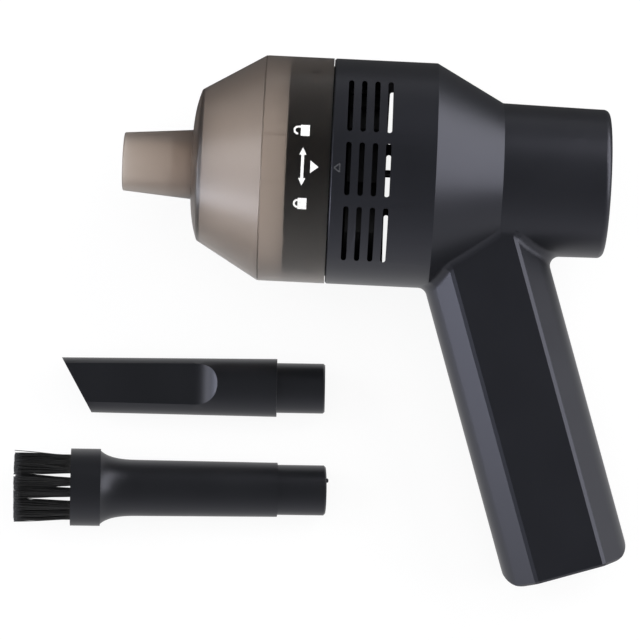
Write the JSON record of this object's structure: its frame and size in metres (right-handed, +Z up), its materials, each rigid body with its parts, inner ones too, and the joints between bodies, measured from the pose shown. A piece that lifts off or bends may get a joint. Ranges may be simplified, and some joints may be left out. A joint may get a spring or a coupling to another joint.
{
  "type": "mini vacuum cleaner",
  "caption": "Handheld pistol-shaped mini vacuum with a smoky twist-off dust cup, vented barrel and raked handle, lying with a slanted crevice tool and a round brush.",
  "frame": {"origin": "centre of the nozzle's mouth, on the barrel's axis", "axes": "+X along the barrel from nozzle to rear, +Y away from the handle, +Z up from the table that the set lies on, whose plane is 30 mm below the origin"},
  "size_m": [0.1645, 0.1376, 0.06],
  "materials": {
    "smoky_cup": "frosted smoky translucent",
    "charcoal_plastic": "fine moulded texture",
    "tool_plastic": "fine moulded texture",
    "button_plastic": "satin",
    "fan_plastic": "matt",
    "frame_plastic": "satin",
    "filter_paper": "pleated",
    "seal_rubber": "matt",
    "bristle_nylon": "satin strands",
    "brass": "turned",
    "copper": "turned",
    "bright_steel": "ground",
    "can_steel": "zinc plated",
    "core_steel": "laminated",
    "ferrite": "matt",
    "carbon": "matt",
    "screw_steel": "blackened",
    "nickel": "satin",
    "board_green": "solder mask",
    "cell_wrap": "plastic sleeve over the can",
    "lens": "clear",
    "red_insulation": "smooth",
    "black_insulation": "smooth"
  },
  "bodies": {
    "housing": {"upper_housing": "charcoal_plastic", "lower_housing": "charcoal_plastic", "housing_screws": "screw_steel", "bayonet_collar": "charcoal_plastic", "cup_seal": "seal_rubber", "motor_plate": "charcoal_plastic", "motor_screws": "bright_steel", "motor_can": "can_steel", "motor_magnets": "ferrite", "motor_bearings": "brass", "motor_brushes": "carbon", "motor_end_cap": "fan_plastic", "motor_terminals": "brass", "motor_damper": "seal_rubber", "switch_board": "board_green", "push_switch": "fan_plastic", "rear_bezel": "charcoal_plastic", "battery_cell": "cell_wrap", "battery_tabs": "nickel", "charge_board": "board_green", "charge_socket": "can_steel", "charge_lens": "lens", "handle_cap": "charcoal_plastic", "red_lead": "red_insulation", "black_lead": "black_insulation"},
    "cup": {"dust_cup": "smoky_cup"},
    "filter": {"filter_frame": "frame_plastic", "filter_media": "filter_paper"},
    "rotor": {"impeller": "fan_plastic", "impeller_bush": "brass", "motor_shaft": "bright_steel", "rotor_core": "core_steel", "commutator": "copper"},
    "button": {"power_button": "button_plastic", "switch_plunger": "frame_plastic"},
    "crevice": {"crevice_tool": "tool_plastic"},
    "brush": {"brush_tube": "tool_plastic", "brush_bristles": "bristle_nylon"}
  },
  "joints": [
    {"name": "cup_twist", "type": "hinge", "parent": "housing", "child": "cup", "pos_m": [0, 0, 0], "axis": [-1, 0, 0], "range_deg": [0, 20]},
    {"name": "filter_lift", "type": "slide", "parent": "housing", "child": "filter", "axis": [-1, 0, 0], "range_m": [0, 0.012]},
    {"name": "fan_spin", "type": "hinge", "parent": "housing", "child": "rotor", "pos_m": [0, 0, 0], "axis": [1, 0, 0], "continuous": true},
    {"name": "button_press", "type": "slide", "parent": "housing", "child": "button", "axis": [-1, 0, 0], "range_m": [0, 0.0012], "stiffness_N_per_m": 1200, "springref_m": -0.0008},
    {"name": "crevice_lift", "type": "slide", "parent": "housing", "child": "crevice", "axis": [0, 0, 1], "range_m": [0, 0.12]},
    {"name": "brush_lift", "type": "slide", "parent": "housing", "child": "brush", "axis": [0, 0, 1], "range_m": [0, 0.12]}
  ]
}
